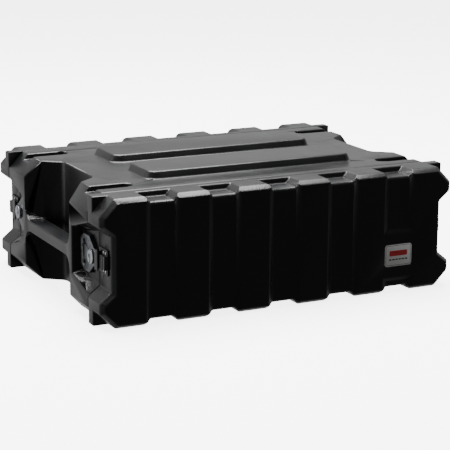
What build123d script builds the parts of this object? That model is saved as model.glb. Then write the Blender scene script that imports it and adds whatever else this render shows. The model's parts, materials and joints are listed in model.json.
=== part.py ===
from build123d import *
import math
import os

# Moulded rack case: a body open at both ends, two lids that pull straight off,
# four turning latches and four rack rails. Millimetres. +X is the width, the
# front lid is at -Y, +Z is up, and the origin is at the bottom, in the middle.

# ---- overall sizes ----
case_width = 610.0
case_height = 198.0
body_depth = 346.8
lid_depth = 53.0
seam_gap = 0.6
wall = 5.0
corner_cut = 25.0
corner_round = 6.0

# ---- side notch that runs through the lid and becomes the latch pocket ----
notch_depth = 19.0
notch_mouth_half = 57.2
notch_floor_half = 42.0
pocket_back_mouth_half = 37.5
pocket_back_floor_half = 32.0
pocket_back_mouth = 64.5
pocket_back_floor = 61.5
pocket_past = 3.0

# ---- carrying handles ----
handle_depth = 55.0
handle_mouth_half = 99.0
handle_knee_in = 24.0
handle_knee_half = 86.0
handle_floor_half = 62.0
handle_corner = 14.0
bar_top = 3.0
bar_bottom = -15.0
bar_reach = 30.0
bar_flare = 22.0

# ---- stacking platforms, sockets and strap slots ----
platform_length = 356.0
platform_width = 85.0
platform_height = 12.0
platform_draft = 5.0
platform_corner = 15.0
platform_centre = 70.0
platform_offset = -4.0
socket_play = 2.0
slot_inner_end = 217.0
slot_width = 24.0
slot_depth = 9.0
slot_from_seam = 38.0

# ---- lid ribs and channels ----
channel_pitch = 102.7
channel_count = 5
channel_floor_half = 18.8
channel_side_run = 9.0
channel_top_depth = 9.0
channel_front_depth = 4.5
channel_rim = 14.0
channel_wall_lean = 0.2
channel_roll = 4.5
channel_roll_gain = 1.0
front_bevel_run = 9.3
front_bevel_inset = 6.6
block_depth = 18.5
land_top = -1.0
land_bottom = -73.0
land_slope = 7.0
land_proud = 4.0
plate_width = 50.0
plate_height = 36.0
plate_thick = 1.0
plate_corner = 5.0
plate_recess = 1.2
plate_play = 0.4
plate_centre_z = -37.0

# ---- tongue and gasket ----
tongue_play = 0.6
tongue_thick = 2.4
tongue_reach = 8.0
tongue_root = 8.0
gasket_in = 1.5
gasket_thick = 2.2
gasket_depth = 3.0

# ---- rack rails ----
rack_unit = 44.45
rack_units = 3
rack_hole_spacing = 465.1
rack_hole_offsets = (6.35, 22.225, 38.1)
rack_hole_r = 2.4
rail_opening = 450.0
rail_thick = 2.0
rail_setback = 15.5
rail_flange = 47.0
rail_end_play = 0.4

# ---- latch, measured outward from the pocket floor and from the hub axis ----
hub_from_seam = 13.5
latch_half_height = 29.0
latch_back = 46.0
latch_back_half = 22.0
latch_cut_end = 33.0
latch_shoulder = 13.0
latch_nose_half = 13.0
latch_nose = 10.6
latch_nose_run = 4.0
latch_height = 6.6
latch_skin = 1.8
latch_corner = 3.0
latch_rim = 0.8
cavity_half = 10.8
cavity_back = 15.0
bolt_hole_r = 2.6
bolt_r = 2.5
bolt_back = 32.0
bolt_half = 16.0
bolt_head_r = 4.2
bolt_head_thick = 2.2
bolt_recess_r = 4.8
bolt_recess_floor = 2.4
nut_across = 8.0
nut_thick = 4.0
thread_play = 0.02
bolt_tail = 1.2
groove_width = 2.4
groove_depth = 0.8

hub_r = 11.0
hub_play = 0.25
hub_thick = 3.6
neck_r = 7.0
fit_play = 0.08
neck_reach = 0.3
cam_pin_r = 2.0
cam_offset = 1.6
cam_floor_play = 0.5
wing_r = 9.0
wing_thick = 1.6
wing_play = 0.35
wing_rim = 3.0
wing_pin_r = 0.9
wing_pin_in = 0.6
wing_knuckle_in = 0.2
wing_knuckle_r = 1.3

hook_travel = 4.0
hook_angle = 30.0
hook_thick = 1.8
hook_low = 2.4
hook_tail_back = 9.0
hook_neck_half = 10.0
hook_arm_half = 16.0
hook_riser_start = 15.2
hook_riser_thick = 1.8
hook_plate_low = 7.3
hook_plate_thick = 2.0
hook_nose_low = 5.4
hook_nose_thick = 2.2
hook_slot_half = 4.4
hook_slot_run = 2.6
hook_corner = 0.8

keeper_start = 17.8
keeper_end = 50.0
keeper_half = 19.5
keeper_base = 2.4
keeper_lip_start = 18.6
keeper_lip_thick = 2.2
keeper_lip_top = 5.0
keeper_lip_half = 13.0
keeper_block_start = 29.0
keeper_block_top = 7.0
keeper_groove = 2.0
keeper_corner = 2.0
keeper_rivet_gap = 1.0
keeper_block_play = 1.5
keeper_rivet_r = 1.6
keeper_rivet_head_r = 2.6
keeper_rivet_head = 1.2
keeper_rivet_half = 14.0
keeper_rivet_pitch = 8.0
nose_seat_play = 0.3

# ---- what follows from them ----
half_width = case_width / 2
half_height = case_height / 2
mid_z = half_height
body_end = body_depth / 2
lid_rim = body_end + seam_gap
lid_front = lid_rim + lid_depth
notch_slope = (notch_mouth_half - notch_floor_half) / notch_depth
notch_slant = math.hypot(1, notch_slope)
floor_x = half_width - notch_depth
rail_height = rack_units * rack_unit
hub_y = body_end - hub_from_seam
far = 60.0


def across(y):
    """Plane facing -Y at the given y, with its middle at mid height."""
    return Plane(origin=(0, y, mid_z), x_dir=(1, 0, 0), z_dir=(0, -1, 0))


def side(x):
    """Plane facing +X at the given x, with its local x along +Y."""
    return Plane(origin=(x, 0, mid_z), x_dir=(0, 1, 0), z_dir=(1, 0, 0))


def level(z):
    """Horizontal plane at height z above mid height."""
    return Plane(origin=(0, 0, mid_z + z), x_dir=(1, 0, 0), z_dir=(0, 0, 1))


def four_way(points):
    """Close a quarter outline by its mirror images, in order round the middle."""
    right = points + [(x, -z) for x, z in reversed(points)]
    return right + [(-x, z) for x, z in reversed(right)]


def octagon():
    """Quarter outline of the plain case: flat top, cut corner, flat side."""
    return [(half_width - corner_cut, half_height), (half_width, half_height - corner_cut)]


def notched():
    """Quarter outline of the seam: the octagon with the notch in its side."""
    return octagon() + [(half_width, notch_mouth_half), (floor_x, notch_floor_half)]


def ring(outer_in, inner_in, y_from, y_to):
    """Band that follows the seam outline, between two insets from it."""
    with BuildPart() as band:
        with BuildSketch(across(-y_from)):
            Polygon(*four_way(notched()), align=None)
            offset(amount=-outer_in, kind=Kind.INTERSECTION)
        extrude(amount=y_to - y_from)
        with BuildSketch(across(-y_from)):
            Polygon(*four_way(notched()), align=None)
            offset(amount=-inner_in, kind=Kind.INTERSECTION)
        extrude(amount=y_to - y_from, mode=Mode.SUBTRACT)
    return band.part


# ---- body cutters, each also made larger by the wall for the inside ----
def case_core(inset, length):
    """Octagonal bar along Y, drawn in by inset."""
    with BuildPart() as core:
        with BuildSketch(across(0)):
            Polygon(*four_way(octagon()), align=None)
            if inset:
                offset(amount=-inset, kind=Kind.INTERSECTION)
            fillet(vertices(), radius=max(corner_round - inset / 2, 1))
        extrude(amount=length / 2, both=True)
    return core.part


def handle_pocket(grow):
    """Right-hand handle pocket: a notch through the full height, less its bar."""
    knee_x = half_width - handle_knee_in
    back_x = half_width - handle_depth - grow
    with BuildPart() as pocket:
        with BuildSketch(level(-half_height - far)):
            Polygon(
                (half_width + far, handle_mouth_half + grow),
                (half_width, handle_mouth_half + grow),
                (knee_x, handle_knee_half + grow),
                (back_x, handle_floor_half + grow / 2),
                (back_x, -handle_floor_half - grow / 2),
                (knee_x, -handle_knee_half - grow),
                (half_width, -handle_mouth_half - grow),
                (half_width + far, -handle_mouth_half - grow),
                align=None,
            )
            inner = vertices().group_by(Axis.X)[0]
            fillet(inner, radius=handle_corner)
        extrude(amount=case_height + 2 * far)
        # the bar, left standing between the two windows
        with BuildSketch(side(half_width - bar_reach - grow)):
            Rectangle(3 * handle_mouth_half, 3 * case_height)
            upper = (bar_top - grow, half_height + 2 * far)
            lower = (-half_height - 2 * far, bar_bottom + grow)
            for low, high in (upper, lower):
                with Locations((0, (low + high) / 2)):
                    RectangleRounded(
                        2 * (handle_mouth_half + grow),
                        high - low,
                        bar_flare,
                        mode=Mode.SUBTRACT,
                    )
        extrude(amount=bar_reach + grow + far + 1, mode=Mode.SUBTRACT)
    return pocket.part


def latch_pocket(grow):
    """Front right latch pocket: flares from its back wall to the seam notch."""
    reach = notch_depth + grow + pocket_past
    lean_y = (pocket_back_mouth - pocket_back_floor) / notch_depth
    lean_z = (pocket_back_mouth_half - pocket_back_floor_half) / notch_depth

    def section(above):
        """Trapezoid at a height above the un-grown pocket floor."""
        back_y = -(body_end - pocket_back_floor - lean_y * above - grow)
        back_z = pocket_back_floor_half + lean_z * above + grow
        seam_z = notch_floor_half + notch_slope * above + grow * notch_slant
        run = body_end + back_y
        past = (seam_z - back_z) * far / run
        Polygon(
            (back_y, back_z),
            (back_y, -back_z),
            (-body_end - far, -seam_z - past),
            (-body_end - far, seam_z + past),
            align=None,
        )

    with BuildPart() as pocket:
        with BuildSketch(side(floor_x - grow)):
            section(-grow)
        with BuildSketch(side(floor_x - grow + reach)):
            section(reach - grow)
        loft(ruled=True)
    return pocket.part


def platform(grow, height, top):
    """Front platform as a tapered block that stands on the given height."""
    with BuildPart() as block:
        with BuildSketch(level(top)):
            with Locations((0, -platform_centre)):
                RectangleRounded(
                    platform_length + 2 * (platform_draft + grow),
                    platform_width + 2 * (platform_draft + grow),
                    platform_corner + platform_draft + grow,
                )
        with BuildSketch(level(top + height)):
            with Locations((0, -platform_centre)):
                RectangleRounded(
                    platform_length + 2 * grow,
                    platform_width + 2 * grow,
                    platform_corner + grow,
                )
        loft(ruled=True)
    return block.part


def strap_slot(grow):
    """Front right slot in the top, running out through the cut corner."""
    slot_y = -(body_end - slot_from_seam)
    length = half_width + far - slot_inner_end + grow
    with BuildPart() as slot:
        with BuildSketch(level(half_height - slot_depth - grow)):
            with Locations((slot_inner_end - grow + length / 2, slot_y)):
                RectangleRounded(length, slot_width + 2 * grow, slot_width / 2 - 1)
        extrude(amount=far)
    return slot.part


def both_sides(shape):
    return [shape, shape.mirror(Plane.YZ)]


def all_corners(shape):
    return [s for half in both_sides(shape) for s in (half, half.mirror(Plane.XZ))]


def both_platforms(shape):
    """The front platform and its twin, both moved a little towards the front."""
    return [Pos(Y=platform_offset) * s for s in (shape, shape.mirror(Plane.XZ))]


def body_cutters(grow):
    """Everything that is hollowed out of the body from outside."""
    socket = platform(socket_play + grow, platform_height + socket_play + grow, -half_height)
    return (
        both_sides(handle_pocket(grow))
        + all_corners(latch_pocket(grow))
        + all_corners(strap_slot(grow))
        + both_platforms(socket)
    )


outer_core = case_core(0, body_depth)
inner_core = case_core(wall, body_depth + 2 * far)
outer_platforms = both_platforms(platform(0, platform_height, half_height))
inner_platforms = both_platforms(platform(-wall, platform_height, half_height - wall))
outside_cuts = body_cutters(0)
inside_keeps = body_cutters(wall)

with BuildPart() as body_hollow:
    add(inner_core)
    add(inner_platforms)
    add(inside_keeps, mode=Mode.SUBTRACT)

bolt_y = hub_y - bolt_back
with BuildPart() as body_shell:
    add(outer_core)
    add(outer_platforms)
    add(outside_cuts, mode=Mode.SUBTRACT)
    add(body_hollow.part, mode=Mode.SUBTRACT)
    # bolt holes through the floor of each latch pocket
    with BuildSketch(side(0)):
        with Locations(*[(y, z) for y in (-bolt_y, bolt_y) for z in (-bolt_half, bolt_half)]):
            Circle(bolt_hole_r)
    extrude(amount=half_width, both=True, mode=Mode.SUBTRACT)


# ---- lids ----
def channel_section(step, grow):
    """Region in front of the channel floor; step 1 is the floor, 0 the ribs."""
    top = half_height - channel_top_depth * step - grow
    front = -(lid_front - channel_front_depth * step - grow)
    roll = channel_roll + channel_roll_gain * step - grow / 2
    back_top = -(lid_rim + channel_rim - grow) + channel_wall_lean * far
    back = -(lid_rim + channel_rim - grow) - channel_wall_lean * (half_height - top)
    Polygon(
        (back_top, half_height + far),
        (back, top),
        (front, top),
        (front, -top),
        (back, -top),
        (back_top, -half_height - far),
        (-lid_front - far, -half_height - far),
        (-lid_front - far, half_height + far),
        align=None,
    )
    nose = [v for v in vertices() if abs(v.X - front) < 1e-6]
    fillet(nose, radius=roll)


def channel(grow):
    """One channel over the top, front and bottom of the lid, about x = 0."""
    outer_step = -0.5
    floor_half = channel_floor_half + grow
    run = channel_side_run * (1 - outer_step)
    with BuildPart() as flank:
        with BuildSketch(side(floor_half)):
            channel_section(1, grow)
        with BuildSketch(side(floor_half + run)):
            channel_section(outer_step, grow)
        loft(ruled=True)
    with BuildPart() as cutter:
        with BuildSketch(side(0)):
            channel_section(1, grow)
        extrude(amount=floor_half, both=True)
        add(both_sides(flank.part))
    return cutter.part


def name_land(grow):
    """Block that closes the last channel where the name plate sits."""
    slope = land_slope / channel_front_depth
    deep = channel_front_depth + wall + 1
    low_out = land_bottom + slope * land_proud - grow
    high_out = land_top - slope * land_proud + grow
    low_in = land_bottom - slope * deep - grow
    high_in = land_top + slope * deep + grow
    with BuildPart() as land:
        with BuildSketch(side(0)):
            Polygon(
                (-lid_front - land_proud, low_out),
                (-lid_front - land_proud, high_out),
                (-lid_front + deep, high_in),
                (-lid_front + deep, low_in),
                align=None,
            )
        extrude(amount=channel_floor_half + 3 * channel_side_run, both=True)
    return land.part


def lid_block(inset, depth):
    """Lid-shaped solid drawn in by inset, with the bevel round its front."""
    with BuildPart() as block:
        with BuildSketch(across(-lid_rim)):
            Polygon(*four_way(notched()), align=None)
            if inset:
                offset(amount=-inset, kind=Kind.INTERSECTION)
        extrude(amount=depth - front_bevel_run)
        with BuildSketch(across(-lid_rim - depth + front_bevel_run)):
            Polygon(*four_way(notched()), align=None)
            if inset:
                offset(amount=-inset, kind=Kind.INTERSECTION)
        with BuildSketch(across(-lid_rim - depth)):
            Polygon(*four_way(notched()), align=None)
            offset(amount=-inset - front_bevel_inset, kind=Kind.INTERSECTION)
        loft(ruled=True)
    return block.part


def corner_block():
    """Square corner of the rim at the top right."""
    corner_x = half_width - corner_cut
    corner_z = half_height - corner_cut
    with BuildPart() as block:
        with BuildSketch(across(-lid_rim)):
            Polygon((corner_x - wall / 2, half_height), (half_width, half_height),
                    (half_width, corner_z - wall / 2), align=None)
        extrude(amount=block_depth)
    return block.part


channel_xs = [channel_pitch * (i - (channel_count - 1) / 2) for i in range(channel_count)]
land_x = channel_xs[-1]


def channel_set(grow):
    """All the channels, the last one interrupted by the name land."""
    plain = channel(grow)
    with BuildPart() as broken:
        add(plain)
        add(name_land(-grow), mode=Mode.SUBTRACT)
    shapes = [Pos(X=x) * plain for x in channel_xs[:-1]]
    return shapes + [Pos(X=land_x) * broken.part]


rim_blocks = [b for half in both_sides(corner_block())
              for b in (half, half.mirror(Plane.XY.offset(mid_z)))]
lid_solid = lid_block(0, lid_depth)
lid_core = lid_block(wall, lid_depth - wall)
outside_channels = channel_set(0)
inside_channels = channel_set(wall)
tongue_in = wall + tongue_play
tongue = ring(tongue_in, tongue_in + tongue_thick, body_end - tongue_reach, lid_rim + tongue_root)
tongue_shelf = ring(wall / 2, tongue_in + tongue_thick, lid_rim + tongue_root / 2,
                    lid_rim + tongue_root)
gasket_groove = ring(gasket_in, gasket_in + gasket_thick, lid_rim, lid_rim + gasket_depth)

keeper_rivet_y = [keeper_block_start + (keeper_end - keeper_block_start) / 2 + s * keeper_rivet_pitch / 2
                  for s in (-1, 1)]

with BuildPart() as lid_hollow:
    add(lid_core)
    add(inside_channels, mode=Mode.SUBTRACT)

with BuildPart() as lid_shell:
    add(lid_solid)
    add(rim_blocks)
    add(outside_channels, mode=Mode.SUBTRACT)
    add(lid_hollow.part, mode=Mode.SUBTRACT)
    add(tongue)
    add(tongue_shelf)
    add(gasket_groove, mode=Mode.SUBTRACT)
    # shallow seat for the name plate
    with BuildSketch(across(-lid_front)):
        with Locations((land_x, plate_centre_z)):
            RectangleRounded(plate_width + plate_play, plate_height + plate_play, plate_corner)
    extrude(amount=-plate_recess, mode=Mode.SUBTRACT)
    # rivet holes for the keepers, through the notch floors
    with BuildSketch(side(floor_x - 2 * wall)):
        with Locations(*[(-(hub_y + v), w) for v in keeper_rivet_y
                         for w in (-keeper_rivet_half, keeper_rivet_half)]):
            Circle(keeper_rivet_r)
    rivet_bores = extrude(amount=3 * wall, mode=Mode.SUBTRACT)
    mirror(rivet_bores, about=Plane.YZ, mode=Mode.SUBTRACT)

turned = Rot(0, 0, 180)
front_lid = lid_shell.part
rear_lid = turned * lid_shell.part

with BuildPart() as name_plate:
    with BuildSketch(across(-lid_front + plate_recess)):
        with Locations((land_x, plate_centre_z)):
            RectangleRounded(plate_width, plate_height, plate_corner)
    extrude(amount=plate_thick)

front_gasket = gasket_groove
rear_gasket = turned * gasket_groove


# ---- rack rails ----
rail_x = floor_x - wall
rail_y = body_end - rail_setback
with BuildPart() as rack_rail:
    with BuildSketch(level(-rail_height / 2 + rail_end_play)):
        with BuildLine():
            Polyline(
                (rail_opening / 2, -rail_y),
                (rail_x, -rail_y),
                (rail_x, -rail_y + rail_flange),
                (rail_x - rail_thick, -rail_y + rail_flange),
                (rail_x - rail_thick, -rail_y + rail_thick),
                (rail_opening / 2, -rail_y + rail_thick),
                close=True,
            )
        make_face()
    extrude(amount=rail_height - 2 * rail_end_play)
    bend = edges().filter_by(Axis.Z).sort_by_distance((rail_x, -rail_y, mid_z))[0]
    fillet(bend, radius=rail_thick * 0.9)
    hole_zs = [u * rack_unit + h - rail_height / 2
               for u in range(rack_units) for h in rack_hole_offsets]
    with BuildSketch(across(-rail_y + 2 * rail_thick)):
        with Locations(*[(rack_hole_spacing / 2, z) for z in hole_zs]):
            Circle(rack_hole_r)
    extrude(amount=4 * rail_thick, mode=Mode.SUBTRACT)
    with BuildSketch(side(rail_x - 2 * rail_thick)):
        with Locations((-bolt_y, bolt_half), (-bolt_y, -bolt_half)):
            Circle(bolt_hole_r)
    extrude(amount=4 * rail_thick, mode=Mode.SUBTRACT)


# ---- latch, in its own frame ----
# Local X points out of the pocket floor, local Y towards the lid, and the hub
# turns about X through the origin.
def flat(height):
    """Plane parallel to the pocket floor at a height above it."""
    return Plane(origin=(height, 0, 0), x_dir=(0, 1, 0), z_dir=(1, 0, 0))


slide_in = hook_travel * math.sin(math.radians(hook_angle))
slide_back = hook_travel * math.cos(math.radians(hook_angle))

with BuildPart() as latch_plate:
    with BuildSketch(flat(0)):
        upper = [
            (-latch_back, latch_back_half),
            (-latch_cut_end, latch_half_height),
            (-latch_shoulder, latch_half_height),
            (latch_nose - latch_nose_run, latch_nose_half),
            (latch_nose, latch_nose_half),
        ]
        Polygon(*upper, *[(v, -w) for v, w in reversed(upper)], align=None)
        fillet(vertices().group_by(Axis.X)[0], radius=latch_corner)
    extrude(amount=latch_height)
    chamfer(faces().sort_by(Axis.X)[-1].edges(), length=latch_rim)
    # pocket for the hook, open to the floor and towards the lid
    with BuildSketch(flat(0)):
        with Locations(((latch_nose - cavity_back) / 2, 0)):
            Rectangle(latch_nose + cavity_back, 2 * cavity_half)
    extrude(amount=latch_height - latch_skin, mode=Mode.SUBTRACT)
    # hub bore
    with BuildSketch(flat(0)):
        Circle(neck_r + fit_play)
    extrude(amount=latch_height + 1, mode=Mode.SUBTRACT)
    # teardrop recesses over the bolts, and the groove between them
    with BuildSketch(flat(bolt_recess_floor)):
        with Locations((-bolt_back, bolt_half), (-bolt_back, -bolt_half)):
            Circle(bolt_recess_r)
    extrude(amount=latch_height, mode=Mode.SUBTRACT)
    with BuildSketch(flat(0)):
        with Locations((-bolt_back, bolt_half), (-bolt_back, -bolt_half)):
            Circle(bolt_hole_r)
    extrude(amount=latch_height, mode=Mode.SUBTRACT)
    with BuildSketch(flat(latch_height - groove_depth)):
        with Locations((-bolt_back, 0)):
            Rectangle(groove_width, 2 * (bolt_half - bolt_recess_r))
    extrude(amount=latch_height, mode=Mode.SUBTRACT)

hub_low = latch_height + hub_play
hub_top = hub_low + hub_thick
pin_x = hub_top - wing_knuckle_r
with BuildPart() as latch_rotor:
    with BuildSketch(flat(hub_low)):
        Circle(hub_r)
    extrude(amount=hub_thick)
    with BuildSketch(flat(latch_height - latch_skin - neck_reach)):
        Circle(neck_r)
    extrude(amount=latch_skin + neck_reach + hub_play)
    # cam pin that moves the hook
    with BuildSketch(flat(cam_floor_play)):
        with Locations((cam_offset, 0)):
            Circle(cam_pin_r)
    extrude(amount=latch_height - latch_skin - neck_reach - cam_floor_play)
    # half-round seat for the folded wing, and the groove round its knuckle
    with BuildSketch(flat(hub_top - wing_thick - wing_play)):
        Circle(wing_r + wing_play)
        with Locations((wing_r, 0)):
            Rectangle(2 * wing_r, 3 * wing_r, mode=Mode.SUBTRACT)
    extrude(amount=wing_thick + wing_play + 1, mode=Mode.SUBTRACT)
    with BuildSketch(Plane(origin=(pin_x, 0, -wing_r - wing_play), x_dir=(1, 0, 0), z_dir=(0, 0, 1))):
        Circle(wing_knuckle_r + wing_play)
        with Locations((wing_knuckle_r, 0)):
            Rectangle(2 * wing_knuckle_r, 2 * (wing_knuckle_r + wing_play))
    extrude(amount=2 * (wing_r + wing_play), mode=Mode.SUBTRACT)
    with BuildSketch(Plane(origin=(pin_x, 0, -hub_r), x_dir=(1, 0, 0), z_dir=(0, 0, 1))):
        Circle(wing_pin_r)
    extrude(amount=2 * hub_r, mode=Mode.SUBTRACT)

with BuildPart() as latch_wing_pin:
    with BuildSketch(Plane(origin=(pin_x, 0, -hub_r + wing_pin_in), x_dir=(1, 0, 0), z_dir=(0, 0, 1))):
        Circle(wing_pin_r)
    extrude(amount=2 * (hub_r - wing_pin_in))

with BuildPart() as latch_wing:
    with BuildSketch(flat(hub_top - wing_thick)):
        Circle(wing_r)
        with Locations((wing_r, 0)):
            Rectangle(2 * wing_r, 3 * wing_r, mode=Mode.SUBTRACT)
    extrude(amount=wing_thick)
    with BuildSketch(Plane(origin=(pin_x, 0, -wing_r + wing_knuckle_in), x_dir=(1, 0, 0), z_dir=(0, 0, 1))):
        Circle(wing_knuckle_r)
    extrude(amount=2 * (wing_r - wing_knuckle_in))
    # finger window
    with BuildSketch(flat(0)):
        Circle(wing_r - wing_rim)
        with Locations((wing_r - wing_rim, 0)):
            Rectangle(2 * wing_r, 3 * wing_r, mode=Mode.SUBTRACT)
    extrude(amount=hub_top + 1, mode=Mode.SUBTRACT)
    with BuildSketch(Plane(origin=(pin_x, 0, -wing_r), x_dir=(1, 0, 0), z_dir=(0, 0, 1))):
        Circle(wing_pin_r + fit_play)
    extrude(amount=2 * wing_r, mode=Mode.SUBTRACT)

lip_back = keeper_lip_start + keeper_lip_thick
nose_start = lip_back + nose_seat_play + slide_back
arm_end = nose_start + hook_nose_thick
with BuildPart() as latch_hook:
    # tail that lies in the latch plate's pocket
    with BuildSketch(flat(hook_low)):
        tail = hook_riser_start + hook_riser_thick + hook_tail_back
        with Locations((tail / 2 - hook_tail_back, 0)):
            Rectangle(tail, 2 * hook_neck_half)
        with Locations((cam_offset - slide_back / 2, 0)):
            Rectangle(2 * (cam_pin_r + hook_slot_run), 2 * hook_slot_half, mode=Mode.SUBTRACT)
    extrude(amount=hook_thick)
    # riser across the seam
    with BuildSketch(flat(hook_low)):
        with Locations((hook_riser_start + hook_riser_thick / 2, 0)):
            Rectangle(hook_riser_thick, 2 * hook_neck_half)
    extrude(amount=hook_plate_low + hook_plate_thick - hook_low)
    # arm over the keeper, and its nose
    with BuildSketch(flat(hook_plate_low)):
        with Locations(((hook_riser_start + arm_end) / 2, 0)):
            RectangleRounded(arm_end - hook_riser_start, 2 * hook_arm_half, hook_corner)
    extrude(amount=hook_plate_thick)
    with BuildSketch(flat(hook_nose_low)):
        with Locations((arm_end - hook_nose_thick / 2, 0)):
            Rectangle(hook_nose_thick, 2 * keeper_lip_half)
    extrude(amount=hook_plate_low + hook_plate_thick - hook_nose_low)

with BuildPart() as keeper:
    with BuildSketch(flat(0)):
        with Locations(((keeper_start + keeper_end) / 2, 0)):
            RectangleRounded(keeper_end - keeper_start, 2 * keeper_half, keeper_corner)
    extrude(amount=keeper_base)
    with BuildSketch(flat(0)):
        with Locations((keeper_lip_start + keeper_lip_thick / 2, 0)):
            Rectangle(keeper_lip_thick, 2 * keeper_lip_half)
    extrude(amount=keeper_lip_top)
    block_mid = (keeper_block_start + keeper_end) / 2
    block_length = keeper_end - keeper_block_start
    with BuildSketch(flat(0)):
        with Locations((block_mid, 0)):
            Rectangle(
                block_length - 2 * keeper_block_play,
                2 * (keeper_rivet_half - keeper_rivet_head_r - keeper_rivet_gap),
            )
    extrude(amount=keeper_block_top)
    with BuildSketch(flat(keeper_block_top - keeper_groove)):
        with Locations((block_mid - block_length / 6, 0), (block_mid + block_length / 6, 0)):
            Rectangle(keeper_groove, 2 * keeper_half)
    extrude(amount=2 * keeper_groove, mode=Mode.SUBTRACT)
    with BuildSketch(flat(0)):
        with Locations(*[(v, w) for v in keeper_rivet_y for w in (-keeper_rivet_half, keeper_rivet_half)]):
            Circle(keeper_rivet_r)
    extrude(amount=keeper_block_top, mode=Mode.SUBTRACT)

with BuildPart() as keeper_rivets:
    spots = [(v, w) for v in keeper_rivet_y for w in (-keeper_rivet_half, keeper_rivet_half)]
    for start, radius, length in (
        (-wall - keeper_rivet_head, keeper_rivet_head_r, keeper_rivet_head),
        (-wall, keeper_rivet_r, wall + keeper_base),
        (keeper_base, keeper_rivet_head_r, keeper_rivet_head),
    ):
        with BuildSketch(flat(start)):
            with Locations(*spots):
                Circle(radius)
        extrude(amount=length)

rail_inner = -wall - rail_thick
with BuildPart() as latch_bolts:
    spots = [(-bolt_back, bolt_half), (-bolt_back, -bolt_half)]
    tail = rail_inner - nut_thick - bolt_tail
    with BuildSketch(flat(tail)):
        with Locations(*spots):
            Circle(bolt_r)
    extrude(amount=bolt_recess_floor - tail)
    with BuildSketch(flat(bolt_recess_floor)):
        with Locations(*spots):
            Circle(bolt_head_r)
    extrude(amount=bolt_head_thick)

with BuildPart() as latch_nuts:
    with BuildSketch(flat(rail_inner - nut_thick)):
        with Locations(*spots):
            RegularPolygon(nut_across / 2, 6, major_radius=False)
            Circle(bolt_r + thread_play, mode=Mode.SUBTRACT)
    extrude(amount=nut_thick)


# ---- writing the pieces ----
def write(shape, name):
    shape.label = name
    export_step(shape, f"parts/{name}.step")


os.makedirs("parts", exist_ok=True)
write(body_shell.part, "body_shell")
write(front_lid, "front_lid")
write(rear_lid, "rear_lid")
write(front_gasket, "front_gasket")
write(rear_gasket, "rear_gasket")
write(name_plate.part, "name_plate")

# each latch frame: outward from the side, and towards its own lid
corners = {
    "front_left": (-1, -1),
    "front_right": (1, -1),
    "rear_left": (-1, 1),
    "rear_right": (1, 1),
}
latch_pieces = {
    "latch_plate": latch_plate,
    "latch_rotor": latch_rotor,
    "latch_wing": latch_wing,
    "latch_wing_pin": latch_wing_pin,
    "latch_hook": latch_hook,
    "keeper": keeper,
    "keeper_rivets": keeper_rivets,
    "latch_bolts": latch_bolts,
    "latch_nuts": latch_nuts,
}
for corner, (sx, sy) in corners.items():
    home = Plane(origin=(sx * floor_x, sy * hub_y, mid_z), x_dir=(sx, 0, 0), z_dir=(0, 0, sx * sy))
    for piece, builder in latch_pieces.items():
        write(home.location * builder.part, f"{corner}_{piece}")
    rail = rack_rail.part
    if sx < 0:
        rail = rail.mirror(Plane.YZ)
    if sy > 0:
        rail = rail.mirror(Plane.XZ)
    write(rail, f"{corner}_rack_rail")
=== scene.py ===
import bmesh
import bpy
import json
import math
import numpy as np
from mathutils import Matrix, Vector, kdtree
from mathutils.bvhtree import BVHTree


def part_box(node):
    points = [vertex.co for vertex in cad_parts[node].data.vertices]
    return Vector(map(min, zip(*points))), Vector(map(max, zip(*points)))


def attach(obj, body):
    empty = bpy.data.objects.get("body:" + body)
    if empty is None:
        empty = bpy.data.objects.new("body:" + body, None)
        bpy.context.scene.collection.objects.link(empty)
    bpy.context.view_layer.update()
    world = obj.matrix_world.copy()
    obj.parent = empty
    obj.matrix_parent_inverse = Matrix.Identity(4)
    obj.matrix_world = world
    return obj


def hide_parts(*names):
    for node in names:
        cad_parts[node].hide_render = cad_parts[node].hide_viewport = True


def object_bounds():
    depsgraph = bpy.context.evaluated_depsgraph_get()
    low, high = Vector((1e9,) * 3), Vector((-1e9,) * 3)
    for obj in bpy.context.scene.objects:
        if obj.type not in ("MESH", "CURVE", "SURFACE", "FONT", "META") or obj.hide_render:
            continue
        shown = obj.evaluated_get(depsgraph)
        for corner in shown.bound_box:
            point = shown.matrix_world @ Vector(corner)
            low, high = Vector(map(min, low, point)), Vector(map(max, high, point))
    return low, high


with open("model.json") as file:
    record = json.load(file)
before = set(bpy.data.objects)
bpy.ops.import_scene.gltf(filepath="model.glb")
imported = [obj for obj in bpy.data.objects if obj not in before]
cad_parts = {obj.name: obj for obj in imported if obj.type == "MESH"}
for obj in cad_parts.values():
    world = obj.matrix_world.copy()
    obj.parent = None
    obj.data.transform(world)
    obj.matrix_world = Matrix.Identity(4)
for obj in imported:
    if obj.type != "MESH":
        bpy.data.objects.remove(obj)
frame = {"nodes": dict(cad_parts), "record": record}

# Moulded rack case. Metres, +X along the width, the front lid at -Y, +Z up.
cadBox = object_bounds()
nodes = frame["nodes"]
record = frame["record"]
mm = 0.001
ridesOn = {n: b for b, members in record["behaviour"]["bodies"].items() for n in members}
finishOf = {row["node"]: row["material_slot"] for row in record["subparts"]}
cornerSide = {"front_left": -1, "front_right": 1, "rear_left": -1, "rear_right": 1}
print("stage: frame loaded,", len(nodes), "pieces")

mixAmount, mixFirst, mixSecond, mixResult = 0, 6, 7, 2      # sockets of a Mix node set to colour


def linear(hexColour):
    # sRGB to linear: a straight line near black, a power of 2.4 above it
    c = np.array([int(hexColour[i:i + 2], 16) for i in (1, 3, 5)]) / 255
    return (*np.where(c <= 0.04045, c / 12.92, ((c + 0.055) / 1.055) ** 2.4).tolist(), 1.0)


def perMetre(size):
    # pattern scale for features of that many millimetres
    return 1 / (size * mm)


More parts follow.
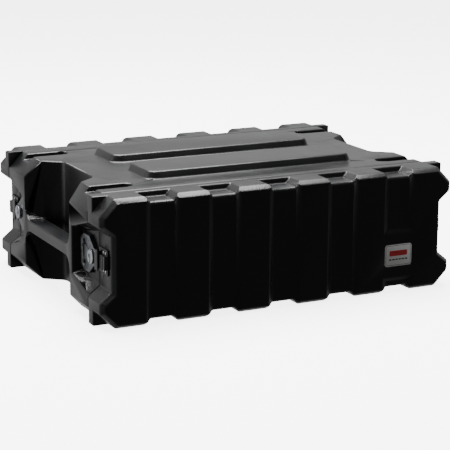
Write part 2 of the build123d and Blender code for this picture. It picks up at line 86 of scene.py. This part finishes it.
def feed(node, inputs):
    # a socket is linked to the input of that name, and a plain value is set on it
    for key, value in inputs.items():
        if isinstance(value, bpy.types.NodeSocket):
            node.id_data.links.new(value, node.inputs[key])
        else:
            node.inputs[key].default_value = value


def addNode(tree, kind, settings=None, inputs=None):
    node = tree.nodes.new(kind)
    for key, value in (settings or {}).items():
        setattr(node, key, value)
    feed(node, inputs or {})
    return node


def newMaterial(name, look):
    # a principled surface with its uniform values set on its own sockets
    material = bpy.data.materials.new(name)
    material.use_nodes = True
    tree = material.node_tree
    tree.nodes.clear()
    shader = addNode(tree, "ShaderNodeBsdfPrincipled", None, look)
    addNode(tree, "ShaderNodeOutputMaterial", None, {"Surface": shader.outputs[0]})
    place = addNode(tree, "ShaderNodeTexCoord").outputs["Object"]
    return material, tree, shader, place


polyethylene = {        # sizes in mm; pairs are the low and high end of a range
    "black": "#0b0c0d", "worn": "#1a1b1d", "ior": 1.51, "specular": 0.42,
    "rough": (0.27, 0.40), "cloud": 90.0, "evenness": (0.3, 0.8),
    "scuff": 7.0, "scuffRange": (0.56, 0.78), "mostScuffed": 0.6, "scuffDulls": 0.35,
    "grain": 2.2,       # mould grain is about 0.8 mm; drawn coarser so that it shows
    "grainRounding": 0.6, "grainStrength": 0.55, "grainDepth": 0.3,
    "wave": 45.0, "waveStrength": 0.22, "waveDepth": 1.5,
}


def moulding(look):
    # Rotationally moulded polyethylene: a slightly wavy skin with a fine leathery grain,
    # so highlights are broad, soft and a little uneven.
    material, tree, shader, place = newMaterial("rotomoulded_black_polyethylene", {
        "Metallic": 0.0, "IOR": look["ior"], "Specular IOR Level": look["specular"]})
    cloud = addNode(tree, "ShaderNodeTexNoise", None, {
        "Vector": place, "Scale": perMetre(look["cloud"]), "Detail": 3.0})
    scuff = addNode(tree, "ShaderNodeTexNoise", None, {
        "Vector": place, "Scale": perMetre(look["scuff"]), "Detail": 6.0, "Roughness": 0.7})
    grain = addNode(tree, "ShaderNodeTexVoronoi", {"feature": "SMOOTH_F1"}, {
        "Vector": place, "Scale": perMetre(look["grain"]), "Smoothness": look["grainRounding"]})
    wave = addNode(tree, "ShaderNodeTexNoise", None, {
        "Vector": place, "Scale": perMetre(look["wave"]), "Detail": 1.0})
    scuffed = addNode(tree, "ShaderNodeMapRange", None, {
        "Value": scuff.outputs[0], "From Min": look["scuffRange"][0],
        "From Max": look["scuffRange"][1], "To Min": 0.0, "To Max": look["mostScuffed"]})
    colour = addNode(tree, "ShaderNodeMix", {"data_type": "RGBA"}, {
        mixAmount: scuffed.outputs[0],
        mixFirst: linear(look["black"]), mixSecond: linear(look["worn"])})
    uneven = addNode(tree, "ShaderNodeMath", {"operation": "MULTIPLY_ADD"}, {
        0: scuffed.outputs[0], 1: look["scuffDulls"], 2: cloud.outputs[0]})
    rough = addNode(tree, "ShaderNodeMapRange", None, {
        "Value": uneven.outputs[0], "From Min": look["evenness"][0],
        "From Max": look["evenness"][1], "To Min": look["rough"][0], "To Max": look["rough"][1]})
    wavy = addNode(tree, "ShaderNodeBump", None, {
        "Strength": look["waveStrength"], "Distance": look["waveDepth"] * mm,
        "Height": wave.outputs[0]})
    grained = addNode(tree, "ShaderNodeBump", None, {
        "Strength": look["grainStrength"], "Distance": look["grainDepth"] * mm,
        "Height": grain.outputs[0], "Normal": wavy.outputs[0]})
    feed(shader, {"Base Color": colour.outputs[mixResult], "Roughness": rough.outputs[0],
                  "Normal": grained.outputs[0]})
    return material


metal = {       # what all the bare and plated metals share
    "stretch": 0.08, "cloud": 6.0, "cloudRange": (0.35, 0.7), "lineRange": (0.3, 0.7),
    "strength": 0.15, "depth": 0.1,
}
zincPlate = {"colour": "#7d8083", "dulled": "#5c5f62", "rough": (0.34, 0.5), "brush": 0.9}
zincHub = {"colour": "#c9cccf", "dulled": "#9da1a5", "rough": (0.24, 0.38), "brush": 0.7}
rivetMetal = {"colour": "#c4c6c8", "dulled": "#9a9c9e", "rough": (0.28, 0.4), "brush": 0.6}
zincFastener = {"colour": "#8f9295", "dulled": "#6c6f72", "rough": (0.3, 0.45), "brush": 0.6}


def sheetMetal(name, look):
    # Zinc plated steel, or aluminium: grey metal with a satin shine, faintly brushed
    # along its length and clouded where its skin is dull. The turned hub is the
    # brightest, and the pressed plate the darkest.
    material, tree, shader, place = newMaterial(name, {"Metallic": 1.0})
    stretched = addNode(tree, "ShaderNodeMapping", None, {
        "Vector": place, "Scale": (1.0, 1.0, metal["stretch"])})
    lines = addNode(tree, "ShaderNodeTexNoise", None, {
        "Vector": stretched.outputs[0], "Scale": perMetre(look["brush"]),
        "Detail": 3.0, "Roughness": 0.6})
    cloud = addNode(tree, "ShaderNodeTexNoise", None, {
        "Vector": place, "Scale": perMetre(metal["cloud"]), "Detail": 3.0})
    dull = addNode(tree, "ShaderNodeMapRange", None, {
        "Value": cloud.outputs[0], "From Min": metal["cloudRange"][0],
        "From Max": metal["cloudRange"][1], "To Min": 0.0, "To Max": 1.0})
    colour = addNode(tree, "ShaderNodeMix", {"data_type": "RGBA"}, {
        mixAmount: dull.outputs[0],
        mixFirst: linear(look["colour"]), mixSecond: linear(look["dulled"])})
    rough = addNode(tree, "ShaderNodeMapRange", None, {
        "Value": lines.outputs[0], "From Min": metal["lineRange"][0],
        "From Max": metal["lineRange"][1], "To Min": look["rough"][0],
        "To Max": look["rough"][1]})
    brushed = addNode(tree, "ShaderNodeBump", None, {
        "Strength": metal["strength"], "Distance": metal["depth"] * mm,
        "Height": lines.outputs[0]})
    feed(shader, {"Base Color": colour.outputs[mixResult], "Roughness": rough.outputs[0],
                  "Normal": brushed.outputs[0]})
    return material


coat = {        # what both powder coats share
    "ior": 1.5, "gloss": 0.15, "glossRough": 0.25, "shade": 14.0, "shadeRange": (0.3, 0.7),
    "mostPale": 0.35, "pale": "#2a2b2d", "strength": 0.25, "depth": 0.15,
}
latchCoat = {"colour": "#121314", "rough": 0.38, "peel": 1.6}
railCoat = {"colour": "#151617", "rough": 0.42, "peel": 1.8}


def powderCoat(name, look):
    # Powder coated steel: an even dark film with a slight orange peel, which breaks up
    # the edges of its highlights.
    material, tree, shader, place = newMaterial(name, {
        "Metallic": 0.0, "IOR": coat["ior"], "Roughness": look["rough"],
        "Coat Weight": coat["gloss"], "Coat Roughness": coat["glossRough"]})
    peel = addNode(tree, "ShaderNodeTexNoise", None, {
        "Vector": place, "Scale": perMetre(look["peel"]), "Detail": 2.0})
    shade = addNode(tree, "ShaderNodeTexNoise", None, {
        "Vector": place, "Scale": perMetre(coat["shade"]), "Detail": 3.0})
    paler = addNode(tree, "ShaderNodeMapRange", None, {
        "Value": shade.outputs[0], "From Min": coat["shadeRange"][0],
        "From Max": coat["shadeRange"][1], "To Min": 0.0, "To Max": coat["mostPale"]})
    colour = addNode(tree, "ShaderNodeMix", {"data_type": "RGBA"}, {
        mixAmount: paler.outputs[0],
        mixFirst: linear(look["colour"]), mixSecond: linear(coat["pale"])})
    peeled = addNode(tree, "ShaderNodeBump", None, {
        "Strength": coat["strength"], "Distance": coat["depth"] * mm,
        "Height": peel.outputs[0]})
    feed(shader, {"Base Color": colour.outputs[mixResult], "Normal": peeled.outputs[0]})
    return material


cellFoam = {"cell": "#0c0c0c", "pore": "#1c1c1c", "poreSize": 0.8, "ior": 1.4, "rough": 0.9,
            "specular": 0.25, "strength": 0.4, "depth": 0.2}


def foam(look):
    # Closed-cell foam cord: dead matt black with small pores.
    material, tree, shader, place = newMaterial("extruded_cell_foam", {
        "Metallic": 0.0, "IOR": look["ior"], "Roughness": look["rough"],
        "Specular IOR Level": look["specular"]})
    pores = addNode(tree, "ShaderNodeTexVoronoi", None, {
        "Vector": place, "Scale": perMetre(look["poreSize"])})
    colour = addNode(tree, "ShaderNodeMix", {"data_type": "RGBA"}, {
        mixAmount: pores.outputs[0],
        mixFirst: linear(look["cell"]), mixSecond: linear(look["pore"])})
    pitted = addNode(tree, "ShaderNodeBump", None, {
        "Strength": look["strength"], "Distance": look["depth"] * mm,
        "Height": pores.outputs[0]})
    feed(shader, {"Base Color": colour.outputs[mixResult], "Normal": pitted.outputs[0]})
    return material


film = {        # what the label and its inks share
    "ior": 1.58, "gloss": 0.4, "glossRough": 0.12, "patch": 3.0, "patchRange": (0.4, 0.75),
    "mostFaded": 0.6,
}
whiteFilm = {"colour": "#f4f4f2", "faded": "#e6e6e4", "rough": 0.32}
redInk = {"colour": "#d2232a", "faded": "#bf1f26", "rough": 0.3}
darkInk = {"colour": "#1a1b1c", "faded": "#26272a", "rough": 0.3}


def printed(name, look):
    # Screen print on polycarbonate: flat colour under a thin clear gloss, with a hint of
    # unevenness in the ink.
    material, tree, shader, place = newMaterial(name, {
        "Metallic": 0.0, "IOR": film["ior"], "Roughness": look["rough"],
        "Coat Weight": film["gloss"], "Coat Roughness": film["glossRough"]})
    patch = addNode(tree, "ShaderNodeTexNoise", None, {
        "Vector": place, "Scale": perMetre(film["patch"]), "Detail": 4.0})
    fading = addNode(tree, "ShaderNodeMapRange", None, {
        "Value": patch.outputs[0], "From Min": film["patchRange"][0],
        "From Max": film["patchRange"][1], "To Min": 0.0, "To Max": film["mostFaded"]})
    colour = addNode(tree, "ShaderNodeMix", {"data_type": "RGBA"}, {
        mixAmount: fading.outputs[0],
        mixFirst: linear(look["colour"]), mixSecond: linear(look["faded"])})
    feed(shader, {"Base Color": colour.outputs[mixResult]})
    return material


materials = {
    "shell_polyethylene": moulding(polyethylene),
    "gasket_foam": foam(cellFoam),
    "plate_white": printed("printed_polycarbonate_white", whiteFilm),
    "latch_zinc": sheetMetal("zinc_plated_pressed_steel", zincPlate),
    "hub_zinc": sheetMetal("zinc_plated_turned_steel", zincHub),
    "black_steel": powderCoat("powder_coated_pressed_steel", latchCoat),
    "rivet_steel": sheetMetal("bare_aluminium_rivet", rivetMetal),
    "fastener_steel": sheetMetal("zinc_plated_cold_headed_steel", zincFastener),
    "rail_steel": powderCoat("powder_coated_rolled_steel", railCoat),
}
inkRed = printed("screen_print_red", redInk)
inkDark = printed("screen_print_dark", darkInk)
print("stage: materials,", len(materials) + 2)


def addPiece(name, mesh, material):
    piece = bpy.data.objects.new(name, mesh)
    bpy.context.scene.collection.objects.link(piece)
    mesh.materials.clear()
    mesh.materials.append(material)
    return piece


def outwardMesh(name, points, faces):
    # mesh of a closed shape, with its faces turned outwards
    mesh = bpy.data.meshes.new(name)
    mesh.from_pydata(points.tolist(), [], faces)
    bm = bmesh.new()
    bm.from_mesh(mesh)
    bmesh.ops.recalc_face_normals(bm, faces=bm.faces)
    bm.to_mesh(mesh)
    bm.free()
    return mesh


def meshPoints(mesh):
    points = np.empty(len(mesh.vertices) * 3)
    mesh.vertices.foreach_get("co", points)
    return points.reshape(-1, 3)


def searchTree(points):
    tree = kdtree.KDTree(len(points))
    for number, point in enumerate(points):
        tree.insert(point, number)
    tree.balance()
    return tree


softening = {       # sizes in mm, angles in degrees
    "merge": 0.02,              # points closer than this are one
    "flatWithin": 1.0,          # faces this nearly flat become one
    "featureAngle": 17.0,       # an edge sharper than this is rounded
    "sampleEvery": 1.5,         # spacing of the points that stand for an edge
    "probes": (0.2, 0.5, 0.8),  # how far along an edge the room beside it is measured
    "touching": 0.001,          # a point nearer than this is the same place
    "beside": 0.5,              # another edge runs beside this one when at most this share
                                # of the gap between them lies along it
    "share": 0.42,              # rounding, as a share of the room beside the edge
    "grooveRoom": 0.3,          # edges this near the gasket stay sharp
    "segments": 3,
    "overshoot": 0.55,          # how far a rounding may stray, as a share of the largest
    "searchRings": 6,           # mesh steps from a stray point back to the surface
    "around": 1.6,              # reach of easing round such a place, in largest roundings
    "easing": (0.5, 0.4, 0.3, 0.0, 0.0),    # each round of easing keeps this share
    "hardBelow": 0.02,          # an edge with less rounding left is shaded as sharp
}
softWidths = {      # largest edge rounding of each sort of piece, in mm
    "body_shell": 2.6, "front_lid": 2.4, "rear_lid": 2.4, "latch_plate": 0.9,
    "latch_rotor": 0.7, "latch_wing": 0.45, "latch_hook": 0.7, "keeper": 0.6,
    "rack_rail": 0.5, "name_plate": 0.3, "latch_nuts": 0.4,
}


def edgeWidths(edges, largest, groove):
    # Rounding of each edge: a share of the distance to the nearest other feature edge
    # that runs alongside it, and none in the gasket's groove.
    points, owners = [], []
    for number, edge in enumerate(edges):
        a, b = (v.co for v in edge.verts)
        count = max(1, int((b - a).length / (softening["sampleEvery"] * mm)))
        points += [a.lerp(b, (i + 0.5) / count) for i in range(count)]
        owners += [number] * count
    tree = searchTree(points)
    widths = []
    reach = largest / softening["share"]
    for number, edge in enumerate(edges):
        a, b = (v.co for v in edge.verts)
        along = (b - a).normalized()
        own = set(edge.verts)
        width = largest
        for t in softening["probes"]:
            spot = a.lerp(b, t)
            if groove is not None and groove.find(spot)[2] < softening["grooveRoom"] * mm:
                width = 0
                break
            for found, i, distance in tree.find_range(spot, reach):
                if distance < softening["touching"] * mm or owners[i] == number:
                    continue
                if own & set(edges[owners[i]].verts):
                    continue
                if abs((found - spot).dot(along)) < softening["beside"] * distance:
                    width = min(width, softening["share"] * distance)
        widths.append(width)
    return widths


def overshoots(piece, original, limit):
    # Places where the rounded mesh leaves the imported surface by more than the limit, or
    # leaves its box: from each stray point, the nearest neighbours still on the surface.
    shown = piece.evaluated_get(bpy.context.evaluated_depsgraph_get())
    mesh = shown.to_mesh()
    points = meshPoints(mesh)
    links = np.empty(len(mesh.edges) * 2, int)
    mesh.edges.foreach_get("vertices", links)
    links = links.reshape(-1, 2)
    shown.to_mesh_clear()
    away = np.array([original.find_nearest(p)[3] or 0 for p in points.tolist()])
    base = meshPoints(piece.data)
    slack = softening["merge"] * mm
    outside = ((points < base.min(0) - slack) | (points > base.max(0) + slack)).any(1)
    stray = (away > limit) | outside
    origins = np.zeros(len(points), bool)
    front = stray.copy()
    for _ in range(softening["searchRings"]):
        reached = np.zeros(len(points), bool)
        reached[links[front[links[:, 0]], 1]] = True
        reached[links[front[links[:, 1]], 0]] = True
        origins |= reached & ~stray
        front |= reached & stray
    return points[origins], stray.any()


def mergedForm(mesh):
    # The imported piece's loose triangles as one closed form of flat faces, with a place
    # for each edge's rounding.
    bm = bmesh.new()
    bm.from_mesh(mesh)
    bmesh.ops.remove_doubles(bm, verts=bm.verts, dist=softening["merge"] * mm)
    bmesh.ops.dissolve_limit(bm, angle_limit=math.radians(softening["flatWithin"]),
                             verts=bm.verts, edges=bm.edges)
    bmesh.ops.connect_verts_concave(bm, faces=bm.faces)
    bm.edges.layers.float.new("bevel_weight_edge")
    for face in bm.faces:
        face.smooth = True
    bm.edges.index_update()
    return bm


def ease(piece, original, numbers, ends, rounded, width):
    # Takes rounding off the edges near each place where the bevel strays, round by round.
    middles = ends.mean(1)
    around = softening["around"] * width
    for keep in softening["easing"]:
        spots, anyStray = overshoots(piece, original, softening["overshoot"] * width)
        if not anyStray:
            break
        close = np.zeros(len(numbers), bool)
        for spot in spots:
            close |= np.linalg.norm(ends - spot, axis=2).min(1) < around
            close |= np.linalg.norm(middles - spot, axis=1) < around
        rounded = np.where(close, rounded * keep, rounded)
        values = np.zeros(len(piece.data.edges), np.float32)
        values[numbers] = rounded
        piece.data.attributes["bevel_weight_edge"].data.foreach_set("value", values)
        piece.data.update()
    return rounded


def soften(name, largest, groove):
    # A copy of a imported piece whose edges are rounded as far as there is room.
    width = largest * mm
    mesh = nodes[name].data.copy()
    bm = mergedForm(mesh)
    sharp = math.radians(softening["featureAngle"])
    features = [e for e in bm.edges
                if len(e.link_faces) == 2 and e.calc_face_angle(0) > sharp]
    filler = searchTree(meshPoints(nodes[groove].data).tolist()) if groove else None
    rounded = np.array(edgeWidths(features, width, filler)) / width
    layer = bm.edges.layers.float["bevel_weight_edge"]
    for edge, share in zip(features, rounded):
        edge[layer] = share
    original = BVHTree.FromBMesh(bm)
    numbers = [e.index for e in features]
    ends = np.array([[v.co for v in e.verts] for e in features])
    bm.to_mesh(mesh)
    bm.free()

    piece = addPiece(name + "_moulded", mesh, materials[finishOf[name]])
    bevel = piece.modifiers.new("rounded edges", "BEVEL")
    bevel.limit_method = "WEIGHT"
    bevel.width = width
    bevel.segments = softening["segments"]
    bevel.use_clamp_overlap = False
    bevel.harden_normals = True
    rounded = ease(piece, original, numbers, ends, rounded, width)
    hard = np.zeros(len(mesh.edges), bool)
    hard[numbers] = rounded < softening["hardBelow"]
    mesh.attributes.new("sharp_edge", "BOOLEAN", "EDGE").data.foreach_set("value", hard)
    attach(piece, ridesOn[name])
    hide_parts(name)


for name in sorted(nodes):
    sort = name
    for corner in cornerSide:
        sort = sort.removeprefix(corner + "_")
    groove = {"front_lid": "front_gasket", "rear_lid": "rear_gasket"}.get(name)
    if sort in softWidths:
        soften(name, softWidths[sort], groove)
    else:
        data = nodes[name].data
        data.materials.clear()
        data.materials.append(materials[finishOf[name]])
print("stage: edges rounded")


headCrease = 38.0       # degrees; an edge of a turned head sharper than this stays crisp
rivet = {"head": 2.6, "headHeight": 1.2, "shank": 1.6, "edge": 0.25, "crown": 0.05,
         "domeRows": 7, "steps": 28, "columns": 2}
bolt = {"head": 4.2, "headHeight": 2.2, "domeShare": 0.98, "edge": 0.5, "shank": 2.5,
        "tipShare": 0.8, "tipLength": 0.6, "socket": 2.0, "socketDepth": 1.4, "rim": 0.35,
        "coneDepth": 0.3, "coneTip": 0.1, "domeRows": 6, "steps": 36, "columns": 1}


def dome(base, radius, height, edge, rows, inner):
    # Quarter ellipse from the head's rim up to its crown, over a short straight edge.
    t = np.linspace(0, 1, rows)
    r = radius + (inner - radius) * np.sin(t * math.pi / 2) ** 2
    h = base + edge + (height - edge) * np.sqrt(1 - (r / radius) ** 2)
    return [(base, radius)] + list(zip(h, r))


def turned(profile, sixSided, steps):
    # Surface of revolution: radius and height come from the profile, the angle runs
    # round in even steps, and six-sided rows swap the circle for a hexagon, whose
    # radius is the flat's distance over the cosine of the angle from its middle.
    angle = np.linspace(0, 2 * math.pi, steps, endpoint=False)
    fromFlat = np.mod(angle, math.pi / 3) - math.pi / 6
    shape = np.where(np.array(sixSided)[:, None], 1 / np.cos(fromFlat)[None, :], 1.0)
    height, radius = np.array(profile, float).T
    rings = radius[:, None] * shape
    return np.stack([np.repeat(height[:, None], steps, 1),
                     rings * np.cos(angle), rings * np.sin(angle)], -1)


def turnedMesh(name, grid, spots, side):
    # One mesh of several turned heads, which face outwards on their side of the case;
    # the first and last rings close to a point.
    rows, steps = grid.shape[:2]
    ends = np.array([[grid[0, 0, 0], 0, 0], [grid[-1, 0, 0], 0, 0]])
    single = np.concatenate([grid.reshape(-1, 3), ends]) * mm
    row, step = np.meshgrid(np.arange(rows - 1), np.arange(steps), indexing="ij")
    here, after = row * steps + step, row * steps + (step + 1) % steps
    quads = np.stack([here, after, after + steps, here + steps], -1).reshape(-1, 4)
    around = np.arange(steps)
    nextOne = (around + 1) % steps
    top = (rows - 1) * steps
    low = np.stack([np.full(steps, rows * steps), nextOne, around], -1)
    high = np.stack([np.full(steps, rows * steps + 1), top + around, top + nextOne], -1)
    points = np.concatenate([single * (side, 1, 1) + np.array(spot) for spot in spots])
    faces = []
    for first in np.arange(len(spots)) * len(single):
        for part in (quads, low, high):
            faces += (part + first).tolist()
    mesh = outwardMesh(name, points, faces)
    mesh.polygons.foreach_set("use_smooth", [True] * len(mesh.polygons))
    mesh.set_sharp_from_angle(angle=math.radians(headCrease))
    return mesh


def rivetProfile(length):
    # domed tail, shank and domed head, from the inner end outwards; the head's top is at 0
    height, rows = rivet["headHeight"], rivet["domeRows"]
    tail = [(height - length - h, r) for h, r in
            dome(0, rivet["head"], height, rivet["edge"], rows, rivet["crown"])]
    neck = [(height - length, rivet["shank"]), (-height, rivet["shank"])]
    head = dome(-height, rivet["head"], height, rivet["edge"], rows, rivet["crown"])
    profile = tail[::-1] + neck + head
    return profile, [False] * len(profile)


def boltProfile(length):
    # chamfered shank, domed head and the hexagon socket down its middle
    height, shank, socket = bolt["headHeight"], bolt["shank"], bolt["socket"]
    shaft = [(-length, shank * bolt["tipShare"]), (bolt["tipLength"] - length, shank),
             (-height, shank)]
    crown = dome(-height, bolt["head"], height * bolt["domeShare"], bolt["edge"],
                 bolt["domeRows"], socket + bolt["rim"])
    top = crown[-1][0]
    floorAt = top - bolt["socketDepth"]
    hole = [(top, socket), (floorAt, socket), (floorAt - bolt["coneDepth"], bolt["coneTip"])]
    return shaft + crown + hole, [False] * len(shaft + crown) + [True] * len(hole)


for corner, side in cornerSide.items():
    for part, look, profileOf in (("keeper_rivets", rivet, rivetProfile),
                                  ("latch_bolts", bolt, boltProfile)):
        node = corner + "_" + part
        low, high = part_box(node)
        outer = high.x if side > 0 else low.x
        across = look["head"] * mm
        columns = {1: [(low.y + high.y) / 2], 2: [low.y + across, high.y - across]}
        spots = [(outer, y, z) for y in columns[look["columns"]]
                 for z in (low.z + across, high.z - across)]
        profile, sixSided = profileOf((high.x - low.x) / mm)
        mesh = turnedMesh(node + "_domed", turned(profile, sixSided, look["steps"]), spots, side)
        piece = addPiece(mesh.name, mesh, materials[finishOf[node]])
        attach(piece, ridesOn[node])
        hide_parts(node)
print("stage: rivets and bolts")


marks = {       # printed on the name plate, in mm
    "proud": 0.08, "frameInset": 1.7, "frameWidth": 0.55, "corner": 4.0, "cornerSteps": 9,
    "barWidth": 33.0, "barHeight": 8.6, "barUp": 3.4, "barCorner": 2.0,
    "dashes": 6, "dashWidth": 4.6, "dashHeight": 2.1, "dashPitch": 5.9, "dashDown": 6.8,
    "dashRounding": 2.2,        # dash height over its corner radius
}
plateLow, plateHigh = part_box("name_plate")
plateMid = (plateLow + plateHigh) / 2
plateSize = (plateHigh - plateLow) / mm


def roundedLoop(width, height, radius):
    # Rounded rectangle: the corner centre plus a quarter turn of the radius, corner by corner.
    quarter = np.linspace(0, math.pi / 2, marks["cornerSteps"])
    turns = np.concatenate([quarter + q * math.pi / 2 for q in range(4)])
    signs = np.repeat(np.array([(1, 1), (-1, 1), (-1, -1), (1, -1)]), marks["cornerSteps"], 0)
    middle = signs * (width / 2 - radius, height / 2 - radius)
    return middle + radius * np.stack([np.cos(turns), np.sin(turns)], -1)


def printedMark(name, loops, offsetX, offsetZ, ink):
    # A film as thick as marks["proud"], whose outline is the first loop, with the
    # second one, if any, cut out of it.
    depths = (0.0, -marks["proud"])
    rings = [np.stack([loop[:, 0] + offsetX, np.full(len(loop), depth),
                       loop[:, 1] + offsetZ], -1)
             for loop in loops for depth in depths]
    n = len(loops[0])
    around = np.arange(n)
    nextOne = (around + 1) % n
    faces = []
    for k in range(len(loops)):
        a, b = 2 * k * n, (2 * k + 1) * n       # a loop's back and front rings
        faces += np.stack([a + around, a + nextOne, b + nextOne, b + around], -1).tolist()
    if len(loops) == 1:
        faces += [around.tolist(), (n + around).tolist()]
    else:
        for a in (0, n):
            b = a + 2 * n
            faces += np.stack([a + around, a + nextOne, b + nextOne, b + around], -1).tolist()
    points = np.concatenate(rings) * mm + np.array([plateMid.x, plateLow.y, plateMid.z])
    piece = addPiece(name, outwardMesh(name, points, faces), ink)
    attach(piece, ridesOn["name_plate"])


wide = plateSize.x - 2 * marks["frameInset"]
tall = plateSize.z - 2 * marks["frameInset"]
thick = marks["frameWidth"]
printedMark("plate_outline", [
    roundedLoop(wide, tall, marks["corner"]),
    roundedLoop(wide - 2 * thick, tall - 2 * thick, marks["corner"] - thick)], 0, 0, inkDark)
printedMark("plate_bar", [roundedLoop(marks["barWidth"], marks["barHeight"], marks["barCorner"])],
            0, marks["barUp"], inkRed)
dash = roundedLoop(marks["dashWidth"], marks["dashHeight"],
                   marks["dashHeight"] / marks["dashRounding"])
for i in range(marks["dashes"]):
    along = (i - (marks["dashes"] - 1) / 2) * marks["dashPitch"]
    printedMark(f"plate_dash_{i}", [dash], along, -marks["dashDown"], inkDark)
print("stage: name plate")


floorLook = {       # pale and faintly glowing, so that it stays near white
    "size": 60.0, "paint": "#f4f4f4", "rough": 0.9, "specular": 0.1,
    "glow": "#ffffff", "glowStrength": 4.5,
}
half = floorLook["size"] / 2
floorMesh = bpy.data.meshes.new("floor")
floorMesh.from_pydata([(-half, -half, 0), (half, -half, 0), (half, half, 0), (-half, half, 0)],
                      [], [(0, 1, 2, 3)])
floorMaterial = newMaterial("painted_studio_floor", {
    "Base Color": linear(floorLook["paint"]), "Roughness": floorLook["rough"],
    "Specular IOR Level": floorLook["specular"], "Emission Color": linear(floorLook["glow"]),
    "Emission Strength": floorLook["glowStrength"]})[0]
floor = addPiece("floor", floorMesh, floorMaterial)
floor.visible_glossy = False
floor.visible_diffuse = False

softboxes = {       # metres and watts
    "overhead": {"at": (0.0, 0.55, 2.5), "size": 2.2, "power": 300.0},  # floor and top edges
    "left": {"at": (-2.6, 0.9, 0.9), "size": 1.8, "power": 14.0},       # sheen on the left side
}
middle = (cadBox[0] + cadBox[1]) / 2
for name, box in softboxes.items():
    light = bpy.data.lights.new(name, "AREA")
    light.energy = box["power"]
    light.size = box["size"]
    lamp = bpy.data.objects.new(name, light)
    bpy.context.scene.collection.objects.link(lamp)
    lamp.location = box["at"]
    lamp.rotation_euler = (middle - Vector(box["at"])).to_track_quat("-Z", "Y").to_euler()

room = {"front": 0.11, "back": 0.72, "from": -0.4, "to": 0.75}     # dark in front, bright behind
world = bpy.data.worlds.new("studio")
bpy.context.scene.world = world
world.use_nodes = True
sky = world.node_tree
direction = addNode(sky, "ShaderNodeTexCoord").outputs["Generated"]
split = addNode(sky, "ShaderNodeSeparateXYZ", None, {0: direction})
shade = addNode(sky, "ShaderNodeMapRange", None, {
    "Value": split.outputs["Y"], "From Min": room["from"], "From Max": room["to"],
    "To Min": room["front"], "To Max": room["back"]})
feed(sky.nodes["Background"], {"Color": (1, 1, 1, 1), "Strength": shade.outputs[0]})

view = {"at": (-1.2023, -2.4217, 0.7435), "turn": (77.784, -0.420, -26.480),
        "lens": 134.3, "sensor": 36.0, "shift": -0.1}       # metres, degrees and mm
camera = bpy.data.cameras.new("camera")
camera.lens = view["lens"]
camera.sensor_width = view["sensor"]
camera.shift_y = view["shift"]
stand = bpy.data.objects.new("camera", camera)
bpy.context.scene.collection.objects.link(stand)
stand.location = view["at"]
stand.rotation_euler = tuple(math.radians(a) for a in view["turn"])
bpy.context.scene.camera = stand
print("stage: studio")
